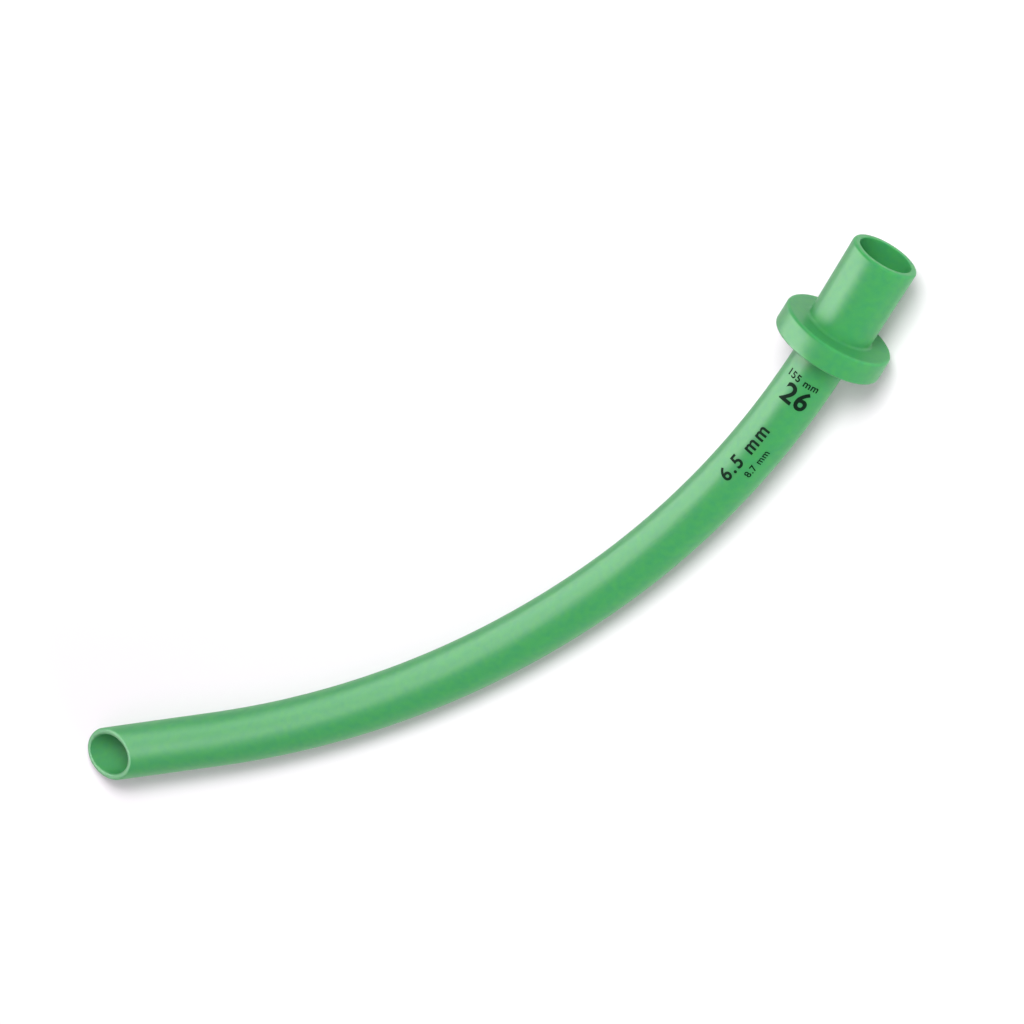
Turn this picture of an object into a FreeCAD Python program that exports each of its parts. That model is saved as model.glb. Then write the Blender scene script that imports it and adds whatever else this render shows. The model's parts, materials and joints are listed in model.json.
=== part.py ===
import FreeCAD, Part
import math
import os

Vector = FreeCAD.Vector

# A nasopharyngeal airway is one soft rubber moulding: a curved breathing tube with a bevelled tip,
# a thick round flange that stops it at the nostril, and a short socket for a connector.
# It is drawn with the flange's patient side on the origin, the socket along +X and the tube
# curving away towards +Y, and is then laid on its side as it comes to rest on a table.
# Sizes are in millimetres and angles in degrees.

# Tube, whose outside is sized on the French scale of three to the millimetre
french_size = 26
tube_outer_diameter = french_size / 3
lumen_diameter = 6.5
near_bend_radius = 148.5
near_bend_angle = 21.3
far_bend_radius = 175.0
far_bend_angle = 24.3
tip_straight_length = 19.8

# Bevel at the tip, whose angle is measured between the cut and the tube's axis. Its rim is
# rounded outside and in, by less where the tube's wall would leave no flat between the two.
bevel_angle = 35.0
tip_rounding = 0.45
least_rim_flat = 0.1

# Flange
flange_diameter = 18.3
flange_thickness = 4.1
flange_rounding = 0.5

# Socket, slightly wider at its mouth than at its base
socket_length = 14.2
socket_base_diameter = 10.8
socket_mouth_diameter = 11.2
socket_bore_diameter = 9.0
socket_bore_depth = 13.0
socket_base_fillet = 0.5
socket_rim_rounding = 0.45

# Sizes that follow from the ones above
tube_radius = tube_outer_diameter / 2
tube_wall = (tube_outer_diameter - lumen_diameter) / 2
rim_rounding = min(tip_rounding, (tube_wall - least_rim_flat) / 2)
mouth_station = flange_thickness + socket_length
bevel_reach = tube_radius / math.tan(math.radians(bevel_angle))
bevel_half_length = tube_radius / math.sin(math.radians(bevel_angle))

# Accuracy of the search for edges and of the search for the way it lies on a table
edge_tolerance = 0.001
contact_samples = 200
largest_lean = 0.4
lean_accuracy = 0.0001

origin = Vector(0, 0, 0)
socket_axis = Vector(1, 0, 0)
side_up = Vector(0, 0, 1)


def towards(angle):
    """Give the unit vector at an angle from the socket's axis, in the plane of the curve."""
    return Vector(math.cos(math.radians(angle)), math.sin(math.radians(angle)), 0)


def bend(start, heading, radius, turn):
    """Draw an arc that leaves a point along a heading and turns clockwise seen from above."""
    centre = start + towards(heading - 90) * radius
    middle = centre + towards(heading + 90 - turn / 2) * radius
    end = centre + towards(heading + 90 - turn) * radius
    return Part.Arc(start, middle, end).toShape(), end


def revolved(corners):
    """Turn a closed outline of station and radius pairs about the socket's axis."""
    outline = Part.makePolygon([Vector(station, radius, 0) for station, radius in corners + corners[:1]])
    return Part.Face(outline).revolve(origin, socket_axis, 360)


def ring_edges(solid, station, radius):
    """Find the round edges about the socket's axis at a station and radius."""
    rings = [edge for edge in solid.Edges if isinstance(edge.Curve, Part.Circle)]
    return [ring for ring in rings
            if abs(ring.Curve.Center.x - station) < edge_tolerance
            and abs(ring.Curve.Radius - radius) < edge_tolerance]


def swept_tube(diameter):
    """Carry a round section along the centreline, from the flange's patient side."""
    section = Part.Face(Part.Wire(Part.Circle(origin, socket_axis, diameter / 2).toShape()))
    return centreline.makePipe(section)


def lowest_point(height, low, high):
    """Narrow a range down to the value with the least height, where there is one valley."""
    while high - low > lean_accuracy:
        third = (high - low) / 3
        if height(low + third) < height(high - third):
            high = high - third
        else:
            low = low + third
    return (low + high) / 2


def resting_direction(weight):
    """Find which way is down when the airway lies on its side with its weight as low as it goes.

    Only the tube and the flange's rounded rims can reach the table. They are followed as balls
    that fill them: along the tube's centreline, and round each rim.
    """
    balls = [(point, tube_radius) for point in centreline.discretize(Number=contact_samples)]
    for station in (flange_rounding, flange_thickness - flange_rounding):
        rim = Part.Circle(Vector(station, 0, 0), socket_axis, flange_radius - flange_rounding)
        balls += [(point, flange_rounding) for point in rim.toShape().discretize(Number=contact_samples)]

    def height(lean_x, lean_y):
        down = Vector(lean_x, lean_y, -1).normalize()
        return max((centre - weight).dot(down) + radius for centre, radius in balls)

    def best_lean_y(lean_x):
        return lowest_point(lambda lean_y: height(lean_x, lean_y), -largest_lean, largest_lean)

    best_lean_x = lowest_point(lambda lean_x: height(lean_x, best_lean_y(lean_x)),
                               -largest_lean, largest_lean)
    return Vector(best_lean_x, best_lean_y(best_lean_x), -1)


# Centreline: two bends that meet tangent to each other, then a straight tip
near_bend, near_end = bend(origin, 180, near_bend_radius, near_bend_angle)
far_bend, far_end = bend(near_end, 180 - near_bend_angle, far_bend_radius, far_bend_angle)
tip_heading = 180 - near_bend_angle - far_bend_angle
tip_direction = towards(tip_heading)
bevel_centre = far_end + tip_direction * tip_straight_length
tip_end = bevel_centre + tip_direction * bevel_reach
centreline = Part.Wire([near_bend, far_bend, Part.makeLine(far_end, tip_end)])

# Flange and socket, turned about the socket's axis
flange_radius = flange_diameter / 2
socket_base_radius = socket_base_diameter / 2
socket_mouth_radius = socket_mouth_diameter / 2
head = revolved([(0, 0), (0, flange_radius), (flange_thickness, flange_radius),
                 (flange_thickness, socket_base_radius), (mouth_station, socket_mouth_radius),
                 (mouth_station, 0)])
flange_rims = ring_edges(head, 0, flange_radius) + ring_edges(head, flange_thickness, flange_radius)
head = head.makeFillet(flange_rounding, flange_rims)
head = head.makeFillet(socket_base_fillet, ring_edges(head, flange_thickness, socket_base_radius))

# Air passage: the straight socket bore, a funnel through the flange, and the lumen
bore_radius = socket_bore_diameter / 2
lumen_radius = lumen_diameter / 2
bore_floor = mouth_station - socket_bore_depth
socket_passage = revolved([(0, 0), (0, lumen_radius), (bore_floor, bore_radius),
                           (mouth_station, bore_radius), (mouth_station, 0)])
passage = socket_passage.fuse(swept_tube(lumen_diameter))

airway = head.fuse(swept_tube(tube_outer_diameter)).cut(passage).removeSplitter()

# Rim of the socket's mouth, rounded outside
airway = airway.makeFillet(socket_rim_rounding, ring_edges(airway, mouth_station, socket_mouth_radius))

# Bevel, which faces sideways out of the curve's plane, with a rounded rim that spares the nose
slope = math.radians(bevel_angle)
bevel_normal = tip_direction * math.sin(slope) + side_up * math.cos(slope)
offcut = Part.makeCylinder(2 * bevel_half_length, 2 * bevel_half_length, bevel_centre, bevel_normal)
airway = airway.cut(offcut)
bevel_rims = [edge for edge in airway.Edges
              if abs((edge.CenterOfMass - bevel_centre).dot(bevel_normal)) < edge_tolerance]
airway = airway.makeFillet(rim_rounding, bevel_rims).Solids[0]

# Lay it down with its two ends in line along X, its lowest point on the table and its box centred
to_table = FreeCAD.Rotation(resting_direction(airway.CenterOfMass), side_up * -1)
airway.Placement = FreeCAD.Placement(origin, to_table)
end_to_end = to_table.multVec(socket_axis * mouth_station - bevel_centre)
airway.rotate(origin, side_up, -math.degrees(math.atan2(end_to_end.y, end_to_end.x)))
box = airway.optimalBoundingBox(False, False)
airway.translate(Vector(-box.Center.x, -box.Center.y, -box.ZMin))

os.makedirs("parts", exist_ok=True)
airway.exportStep("parts/airway.step")

tube_length = (math.radians(near_bend_angle) * near_bend_radius
               + math.radians(far_bend_angle) * far_bend_radius
               + tip_straight_length + bevel_reach)
print("tube from flange to tip %.1f mm" % tube_length)
print("box %.2f x %.2f x %.2f mm" % (box.XLength, box.YLength, box.ZLength))
print("volume %.0f cubic mm, closed solid: %s" % (airway.Volume, airway.isValid() and airway.isClosed()))
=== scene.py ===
import json
import math
import bmesh
import bpy
import numpy as np
from mathutils import Euler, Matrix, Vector


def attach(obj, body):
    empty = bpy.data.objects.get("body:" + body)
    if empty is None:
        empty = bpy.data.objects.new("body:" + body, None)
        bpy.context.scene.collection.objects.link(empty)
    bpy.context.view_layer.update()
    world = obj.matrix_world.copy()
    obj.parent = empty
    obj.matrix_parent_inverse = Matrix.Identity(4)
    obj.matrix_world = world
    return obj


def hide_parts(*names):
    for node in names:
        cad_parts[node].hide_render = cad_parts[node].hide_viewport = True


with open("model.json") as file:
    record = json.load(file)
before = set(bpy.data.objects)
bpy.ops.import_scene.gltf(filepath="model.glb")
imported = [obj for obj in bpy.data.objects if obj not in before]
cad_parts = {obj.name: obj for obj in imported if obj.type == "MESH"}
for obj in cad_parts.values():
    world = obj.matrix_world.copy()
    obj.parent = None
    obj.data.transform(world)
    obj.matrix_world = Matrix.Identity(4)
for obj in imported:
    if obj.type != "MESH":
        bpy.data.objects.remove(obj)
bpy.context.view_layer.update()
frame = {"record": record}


# Camera
# A long lens looks down at the airway from about a metre and a half, rolled a little so that
# the tube runs from the lower left to the upper right.
camera_place = Vector((0.65162, -0.29981, 1.43234))
camera_turn = (-2.0945, 26.6073, -30.0658)
camera_lens = 358.04

camera_data = bpy.data.cameras.new("camera")
camera_data.lens = camera_lens
camera_data.sensor_width = 36
camera = bpy.data.objects.new("camera", camera_data)
camera.location = camera_place
camera.rotation_euler = Euler([math.radians(angle) for angle in camera_turn])
bpy.context.collection.objects.link(camera)
bpy.context.scene.camera = camera
bpy.context.scene.view_settings.view_transform = "Standard"


# Table
# A plain white top that runs out past the picture. It lifts to white where the camera or a
# reflection sees it, and still takes the airway's soft shadow.
table_half_width = 3.0
table_white = (0.885, 0.86, 0.885)
table_lift = 0.05


def flat_square(half_width):
    """Grid of two by two points at height zero: x and y each run from -half_width to half_width."""
    x, y = np.meshgrid([-half_width, half_width], [-half_width, half_width], indexing="ij")
    return np.stack([x, y, np.zeros_like(x)], axis=-1)


def grid_object(name, points, wraps=()):
    """Mesh of quads on a grid of points, where an axis named in wraps joins its last row to its first."""
    rows, columns = points.shape[:2]
    index = np.arange(rows * columns).reshape(rows, columns)
    corners = [index, np.roll(index, -1, 0), np.roll(index, (-1, -1), (0, 1)), np.roll(index, -1, 1)]
    keep = (slice(None if 0 in wraps else -1), slice(None if 1 in wraps else -1))
    quads = np.stack([corner[keep] for corner in corners], axis=-1).reshape(-1, 4)
    mesh = bpy.data.meshes.new(name)
    mesh.from_pydata(points.reshape(-1, 3).tolist(), [], quads.tolist())
    mesh.shade_smooth()
    made = bpy.data.objects.new(name, mesh)
    bpy.context.collection.objects.link(made)
    return made


table = grid_object("table", flat_square(table_half_width))
table_paint = bpy.data.materials.new("table_white")
table_paint.use_nodes = True
nodes, links = table_paint.node_tree.nodes, table_paint.node_tree.links
nodes.clear()
output = nodes.new("ShaderNodeOutputMaterial")
both = nodes.new("ShaderNodeAddShader")
matt = nodes.new("ShaderNodeBsdfDiffuse")
glow = nodes.new("ShaderNodeEmission")
rays = nodes.new("ShaderNodeLightPath")
seen = nodes.new("ShaderNodeMath")
seen.operation = "MAXIMUM"
lift = nodes.new("ShaderNodeMath")
lift.operation = "MULTIPLY"
lift.inputs[1].default_value = table_lift
matt.inputs["Color"].default_value = (*table_white, 1)
links.new(rays.outputs["Is Camera Ray"], seen.inputs[0])
links.new(rays.outputs["Is Glossy Ray"], seen.inputs[1])
links.new(seen.outputs[0], lift.inputs[0])
links.new(lift.outputs[0], glow.inputs["Strength"])
links.new(matt.outputs[0], both.inputs[0])
links.new(glow.outputs[0], both.inputs[1])
links.new(both.outputs[0], output.inputs["Surface"])
table.data.materials.append(table_paint)


# Lights
# A high soft box throws the short shadow to the lower right of the picture, and a weak low one
# on that side lights the rubber's darker flank. Two white panels on the left are seen only in the
# satin gloss: the near one as the pale band along the tube, the high one on socket and flange.
key_direction, key_distance = Vector((0.57, 0.14, 1.0)), 1.2
key_width, key_height, key_watts = 0.48, 0.48, 12.4
reflector_direction, reflector_distance = Vector((0.30, -0.90, 0.20)), 1.2
reflector_width, reflector_height, reflector_watts = 0.9, 0.3, 6.0
panel_direction, panel_distance = Vector((-0.76, 0.48, 0.44)), 0.55
panel_width, panel_height, panel_watts = 0.94, 0.60, 15.0
high_panel_direction, high_panel_distance = Vector((-1.02, 0.27, 1.10)), 1.55
high_panel_width, high_panel_height, high_panel_watts = 0.80, 0.80, 21.0
surround_tint = (1.0, 0.92, 1.0)
fill_strength = 0.48


def soft_light(name, direction, distance, width, height, watts):
    """Rectangular soft box that stands off along a direction and faces the airway."""
    data = bpy.data.lights.new(name, "AREA")
    data.shape = "RECTANGLE"
    data.size, data.size_y = width, height
    data.energy = watts
    light = bpy.data.objects.new(name, data)
    light.location = direction.normalized() * distance
    light.rotation_euler = light.location.to_track_quat("Z", "Y").to_euler()
    bpy.context.collection.objects.link(light)
    return light


key = soft_light("key", key_direction, key_distance, key_width, key_height, key_watts)
key.visible_glossy = False
reflector = soft_light("reflector", reflector_direction, reflector_distance,
                       reflector_width, reflector_height, reflector_watts)
reflector.visible_glossy = False
panel = soft_light("panel", panel_direction, panel_distance, panel_width, panel_height, panel_watts)
panel.visible_diffuse = False
high_panel = soft_light("high_panel", high_panel_direction, high_panel_distance,
                        high_panel_width, high_panel_height, high_panel_watts)
high_panel.visible_diffuse = False

# An even surround fills the rest, a little lilac so that shadows stay grey beside the green rubber
surround = bpy.data.worlds.new("surround")
surround.use_nodes = True
surround.node_tree.nodes["Background"].inputs["Color"].default_value = (*surround_tint, 1)
surround.node_tree.nodes["Background"].inputs["Strength"].default_value = fill_strength
bpy.context.scene.world = surround


# Airway
# One moulding in soft green rubber: a curved tube with a bevelled tip, a thick round flange and
# a short socket. It is drawn in millimetres with the flange's patient side on the origin, the
# socket along X, the bend towards Y and the bevel facing Z, and then laid down as it was packed.
french_size = 26
tube_radius = french_size / 3 / 2
lumen_radius = 3.25
near_radius, near_angle = 148.5, math.radians(21.3)
far_radius, far_angle = 175.0, math.radians(24.3)
tip_straight = 19.8
bevel_angle = math.radians(35)
tip_rounding = 0.45
flange_radius, flange_thickness, flange_rounding = 9.15, 4.1, 0.5
socket_base_radius, socket_mouth_radius, socket_length = 5.4, 5.6, 14.2
socket_fillet, socket_rim_rounding = 0.5, 0.45
bore_radius, bore_depth = 4.5, 13.0
bore_edge_rounding, bore_floor_rounding = 0.15, 0.25
root_length, root_fillet = 1.0, 0.25
heel_clearance = 2.0
points_round = 144
row_spacing = 0.9
corner_steps, run_steps, lip_steps, heel_steps = 9, 5, 10, 9

near_length = near_radius * near_angle
far_length = far_radius * far_angle
bevel_station = near_length + far_length + tip_straight
bevel_reach = tube_radius / math.tan(bevel_angle)
mouth_station = flange_thickness + socket_length
round_angle = np.linspace(0, 2 * np.pi, points_round, endpoint=False)

mounts = {mount["name"]: mount for mount in frame["record"]["mounts"]}
socket_axis = np.array(mounts["socket_bore"]["axis"])
bore_middle = np.array(mounts["socket_bore"]["pos_m"])
seat_point = np.array(mounts["flange_seat"]["pos_m"])
flange_middle = bore_middle + socket_axis * np.dot(seat_point - bore_middle, socket_axis)
bend_side = (seat_point - flange_middle) / np.linalg.norm(seat_point - flange_middle)
drawing_axes = np.stack([socket_axis, bend_side, np.cross(socket_axis, bend_side)])


def laid_down(points):
    """Metres on the table for millimetres drawn: the flange's middle plus x, y and z along its axes."""
    return flange_middle + points / 1000 @ drawing_axes


def around_tube(station, up, aside):
    """Points beside the centreline at a station, measured along it from the flange.

    The heading turns by station / near_radius on the first arc and by the rest / far_radius on the
    second, then stays straight. The place is the sum of both arcs' chords and the straight run, and
    each point stands off it by `up` along Z and by `aside` towards the inside of the bend.
    """
    first = np.clip(station, 0, near_length) / near_radius
    second = np.clip(station - near_length, 0, far_length) / far_radius
    heading = first + second
    straight = station - first * near_radius - second * far_radius
    x = (-near_radius * np.sin(first) + far_radius * (np.sin(first) - np.sin(heading))
         - straight * np.cos(heading) + aside * np.sin(heading))
    y = (near_radius * (1 - np.cos(first)) + far_radius * (np.cos(first) - np.cos(heading))
         + straight * np.sin(heading) + aside * np.cos(heading))
    return np.stack(np.broadcast_arrays(x, y, up), axis=-1)


def tube_rows(radius, stations):
    """Rings of one radius about the centreline, with a station for each row or each point."""
    return around_tube(stations, radius * np.cos(round_angle), radius * np.sin(round_angle))


def turned(start, end, share):
    """Spoke that has turned by a share of the way from start to end, by the rule of sines."""
    whole = np.arccos(np.clip(np.sum(start * end, axis=-1, keepdims=True)
                              / np.linalg.norm(start, axis=-1, keepdims=True)
                              / np.linalg.norm(end, axis=-1, keepdims=True), -1, 1))
    return (np.sin((1 - share) * whole) * start + np.sin(share * whole) * end) / np.sin(whole)


def rounded_corner(before, corner, after, radius):
    """Arc of a radius that touches both sides of a corner, with its spoke turned from one to the other."""
    to_before = (before - corner) / np.linalg.norm(before - corner)
    to_after = (after - corner) / np.linalg.norm(after - corner)
    half = np.arccos(np.dot(to_before, to_after)) / 2
    middle = to_before + to_after
    centre = corner + middle / np.linalg.norm(middle) * radius / np.sin(half)
    start = corner + to_before * radius / np.tan(half) - centre
    end = corner + to_after * radius / np.tan(half) - centre
    return centre + turned(start, end, np.linspace(0, 1, corner_steps)[:, None])


def spun(outline):
    """Rings for an outline of stations and radii, with each point carried round the X axis."""
    station, radius = outline.T[..., None]
    rings = np.broadcast_arrays(station, radius * np.sin(round_angle), radius * np.cos(round_angle))
    return np.stack(rings, axis=-1)


def head_rows():
    """Flange and socket, first from the tube's root over the mouth, then down the bore to the lumen.

    The outline is straight runs with an arc at each corner. Its last four parts are the bore's
    wall, the corner at its floor, the funnel and the lumen's ring.
    """
    outline = np.array([(-root_length, tube_radius), (0, tube_radius), (0, flange_radius),
                        (flange_thickness, flange_radius), (flange_thickness, socket_base_radius),
                        (mouth_station, socket_mouth_radius), (mouth_station, bore_radius),
                        (mouth_station - bore_depth, bore_radius), (0, lumen_radius)])
    roundings = [root_fillet, flange_rounding, flange_rounding, socket_fillet,
                 socket_rim_rounding, bore_edge_rounding, bore_floor_rounding]
    corners = [rounded_corner(*outline[i:i + 3], radius) for i, radius in enumerate(roundings)]
    profile = [outline[:1]]
    for corner in corners + [outline[-1:]]:
        run = np.linspace(profile[-1][-1], corner[0], run_steps)[1:-1]
        profile += [run, corner]
    return spun(np.concatenate(profile[:-4])[1:]), spun(np.concatenate(profile[-4:])[:-1])


def lip_rows(radius, rounding):
    """Rounded edge of the bevel on one wall, from the wall to the bevel's flat.

    A ball of the rounding's size touches both the wall and the flat. Its centre is at
    radius - rounding from the axis, and lies behind the flat by the rounding, so its station is
    -(|rounding| + centre radius * cos(bevel) * cos(angle)) / sin(bevel). The row's points turn from
    the wall's outward direction to the flat's.
    """
    centre_radius = radius - rounding
    size = abs(rounding)
    along = -(size + centre_radius * np.cos(bevel_angle) * np.cos(round_angle)) / np.sin(bevel_angle)
    outward = np.stack([np.zeros(points_round), np.cos(round_angle), np.sin(round_angle)], axis=-1)
    centre = outward * centre_radius
    centre[:, 0] = along
    off_wall = outward * np.sign(rounding)
    off_flat = np.broadcast_to([np.sin(bevel_angle), np.cos(bevel_angle), 0.0], off_wall.shape)
    offset = centre + size * turned(off_wall, off_flat, np.linspace(0, 1, lip_steps)[:, None, None])
    return around_tube(bevel_station + offset[..., 0], offset[..., 1], offset[..., 2]), along


def heel_rows(radius, lip_along):
    """Rows that carry the wall from a plain ring behind the heel to the start of the lip's rounding.

    Each point's station goes in even steps from the heel's station to that of its own lip.
    """
    share = np.linspace(0, 1, heel_steps)[1:-1, None]
    return tube_rows(radius, heel_station + (bevel_station + lip_along - heel_station) * share)


heel_station = bevel_station - bevel_reach - heel_clearance
row_count = int(heel_station / row_spacing)
outer_lip, outer_along = lip_rows(tube_radius, tip_rounding)
inner_lip, inner_along = lip_rows(lumen_radius, -tip_rounding)
head_outside, head_bore = head_rows()
outside_rows = np.concatenate([
    outer_lip[::-1],
    heel_rows(tube_radius, outer_along)[::-1],
    tube_rows(tube_radius, np.linspace(heel_station, root_length, row_count)[:, None]),
    head_outside,
])
inside_rows = np.concatenate([
    head_bore,
    tube_rows(lumen_radius, np.linspace(0, heel_station, row_count)[:, None]),
    heel_rows(lumen_radius, inner_along),
    inner_lip,
])
moulding = laid_down(np.concatenate([outside_rows, inside_rows]))
airway = grid_object("airway_moulding", moulding, wraps=(0, 1))

# Satin rubber that lets a little light in, faintly clouded and finely grained
deep_green, pale_green = (0.042, 0.287, 0.098), (0.053, 0.319, 0.084)
clouding_scale, grain_scale, grain_depth = 900, 2600, 0.00008

rubber = bpy.data.materials.new("green_rubber")
rubber.use_nodes = True
nodes, links = rubber.node_tree.nodes, rubber.node_tree.links
satin = nodes["Principled BSDF"]
satin.inputs["Roughness"].default_value = 0.38
satin.inputs["Specular IOR Level"].default_value = 0.25
satin.inputs["Subsurface Weight"].default_value = 0.4
satin.inputs["Subsurface Radius"].default_value = (0.4, 1.0, 0.5)
satin.inputs["Subsurface Scale"].default_value = 0.002
place = nodes.new("ShaderNodeTexCoord")
clouding = nodes.new("ShaderNodeTexNoise")
clouding.inputs["Scale"].default_value = clouding_scale
clouding.inputs["Detail"].default_value = 3
greens = nodes.new("ShaderNodeValToRGB")
greens.color_ramp.elements[0].position = 0.3
greens.color_ramp.elements[0].color = (*deep_green, 1)
greens.color_ramp.elements[1].position = 0.7
greens.color_ramp.elements[1].color = (*pale_green, 1)
grain = nodes.new("ShaderNodeTexNoise")
grain.inputs["Scale"].default_value = grain_scale
grain.inputs["Detail"].default_value = 2
bump = nodes.new("ShaderNodeBump")
bump.inputs["Strength"].default_value = 0.12
bump.inputs["Distance"].default_value = grain_depth
links.new(place.outputs["Object"], clouding.inputs["Vector"])
links.new(place.outputs["Object"], grain.inputs["Vector"])
links.new(clouding.outputs["Fac"], greens.inputs["Fac"])
links.new(greens.outputs["Color"], satin.inputs["Base Color"])
links.new(grain.outputs["Fac"], bump.inputs["Height"])
links.new(bump.outputs["Normal"], satin.inputs["Normal"])

# The same rubber is duller inside the bore and lumen, where hardly any gloss shows
dull_rubber = rubber.copy()
dull_rubber.name = "green_rubber_inside"
dull = dull_rubber.node_tree.nodes["Principled BSDF"]
dull.inputs["Roughness"].default_value = 0.7
dull.inputs["Specular IOR Level"].default_value = 0.1

face_rows = np.arange(len(airway.data.polygons)) // points_round
inside_begins = len(outside_rows)
inside_ends = inside_begins + len(inside_rows) - len(inner_lip)
inside_faces = (face_rows >= inside_begins) & (face_rows < inside_ends)
airway.data.materials.append(rubber)
airway.data.materials.append(dull_rubber)
airway.data.polygons.foreach_set("material_index", inside_faces.astype(np.int32))
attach(airway, "root")
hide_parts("airway")


# Printing
# The airway's own sizes, stamped on the tube in dark ink just below the flange: the French size,
# and in millimetres the width of the lumen, the length and the width outside. The ink is a thin
# skin that follows the tube.
ink_height = 0.02
ink_sink = 0.02
ink_deep, ink_pale = (0.002, 0.010, 0.005), (0.006, 0.024, 0.012)
coverage_scale = 1800
digit_share = 0.7
strip_width = 0.2
merge_distance = 0.0005


def vertex_places(mesh):
    """Array of a mesh's vertices, with one row of x, y and z for each."""
    flat = np.empty(len(mesh.vertices) * 3)
    mesh.vertices.foreach_get("co", flat)
    return flat.reshape(-1, 3)


def printed(name, words, height, boldness, spacing):
    """Flat letters as a thin closed mesh in millimetres, with x along the words.

    A digit is digit_share of the letters' size. Cuts at every strip_width both ways let the flat
    faces bend round the tube.
    """
    curve = bpy.data.curves.new(name, "FONT")
    curve.body = words
    curve.size = height / digit_share
    curve.offset = boldness
    curve.space_character = spacing
    curve.extrude = (ink_height + ink_sink) / 2
    text = bpy.data.objects.new(name, curve)
    bpy.context.collection.objects.link(text)
    bpy.context.view_layer.update()
    mesh = bpy.data.meshes.new_from_object(text)
    mesh.name = name
    bpy.data.objects.remove(text)
    places = vertex_places(mesh)
    low, high = places.min(axis=0), places.max(axis=0)
    shape = bmesh.new()
    shape.from_mesh(mesh)
    bmesh.ops.remove_doubles(shape, verts=shape.verts, dist=merge_distance)
    for way, normal in enumerate([Vector((1, 0, 0)), Vector((0, 1, 0))]):
        for cut in np.arange(low[way] + strip_width, high[way], strip_width):
            bmesh.ops.bisect_plane(shape, geom=shape.verts[:] + shape.edges[:] + shape.faces[:],
                                   plane_co=normal * cut, plane_no=normal)
    shape.to_mesh(mesh)
    shape.free()
    return mesh


def stamped(mesh, station, angle, along_tube):
    """Wrap flat letters round the tube, with their middle at a station and an angle from the top.

    Lengths along the tube are taken off the station, and lengths across it turn the angle by
    length / radius. Words along the tube read towards the flange with their tops to the inside of the bend,
    and words across it read away from the inside of the bend with their tops to the flange.
    """
    places = vertex_places(mesh)
    x, y, z = (places - (places.min(axis=0) + places.max(axis=0)) / 2).T
    across = y if along_tube else -x
    down = x if along_tube else y
    stood_off = tube_radius + z - (ink_sink - ink_height) / 2
    turn = angle + across / tube_radius
    points = around_tube(station - down, stood_off * np.cos(turn), stood_off * np.sin(turn))
    mesh.vertices.foreach_set("co", laid_down(points).ravel())
    mesh.update()
    made = bpy.data.objects.new(mesh.name, mesh)
    bpy.context.collection.objects.link(made)
    return made


ink = bpy.data.materials.new("dark_ink")
ink.use_nodes = True
nodes, links = ink.node_tree.nodes, ink.node_tree.links
matt_ink = nodes["Principled BSDF"]
matt_ink.inputs["Roughness"].default_value = 0.75
matt_ink.inputs["Specular IOR Level"].default_value = 0.05
ink_place = nodes.new("ShaderNodeTexCoord")
coverage = nodes.new("ShaderNodeTexNoise")
coverage.inputs["Scale"].default_value = coverage_scale
ink_tones = nodes.new("ShaderNodeValToRGB")
ink_tones.color_ramp.elements[0].color = (*ink_deep, 1)
ink_tones.color_ramp.elements[1].color = (*ink_pale, 1)
links.new(ink_place.outputs["Object"], coverage.inputs["Vector"])
links.new(coverage.outputs["Fac"], ink_tones.inputs["Fac"])
links.new(ink_tones.outputs["Color"], matt_ink.inputs["Base Color"])

prints = [
    stamped(printed("french_size", "%d" % french_size, height=3.2, boldness=0.10, spacing=1.06),
            station=7.7, angle=math.radians(-14), along_tube=False),
    stamped(printed("lumen_size", "%.1f mm" % (2 * lumen_radius), height=2.2, boldness=0.07, spacing=1.2),
            station=20.2, angle=math.radians(1), along_tube=True),
    stamped(printed("tube_length", "%.0f mm" % (bevel_station + bevel_reach),
                    height=1.2, boldness=0.035, spacing=1.08),
            station=4.9, angle=math.radians(-8), along_tube=False),
    stamped(printed("outside_size", "%.1f mm" % (2 * tube_radius),
                    height=1.15, boldness=0.025, spacing=1.1),
            station=20.4, angle=math.radians(-35), along_tube=True),
]
for words in prints:
    words.data.materials.append(ink)
    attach(words, "root")
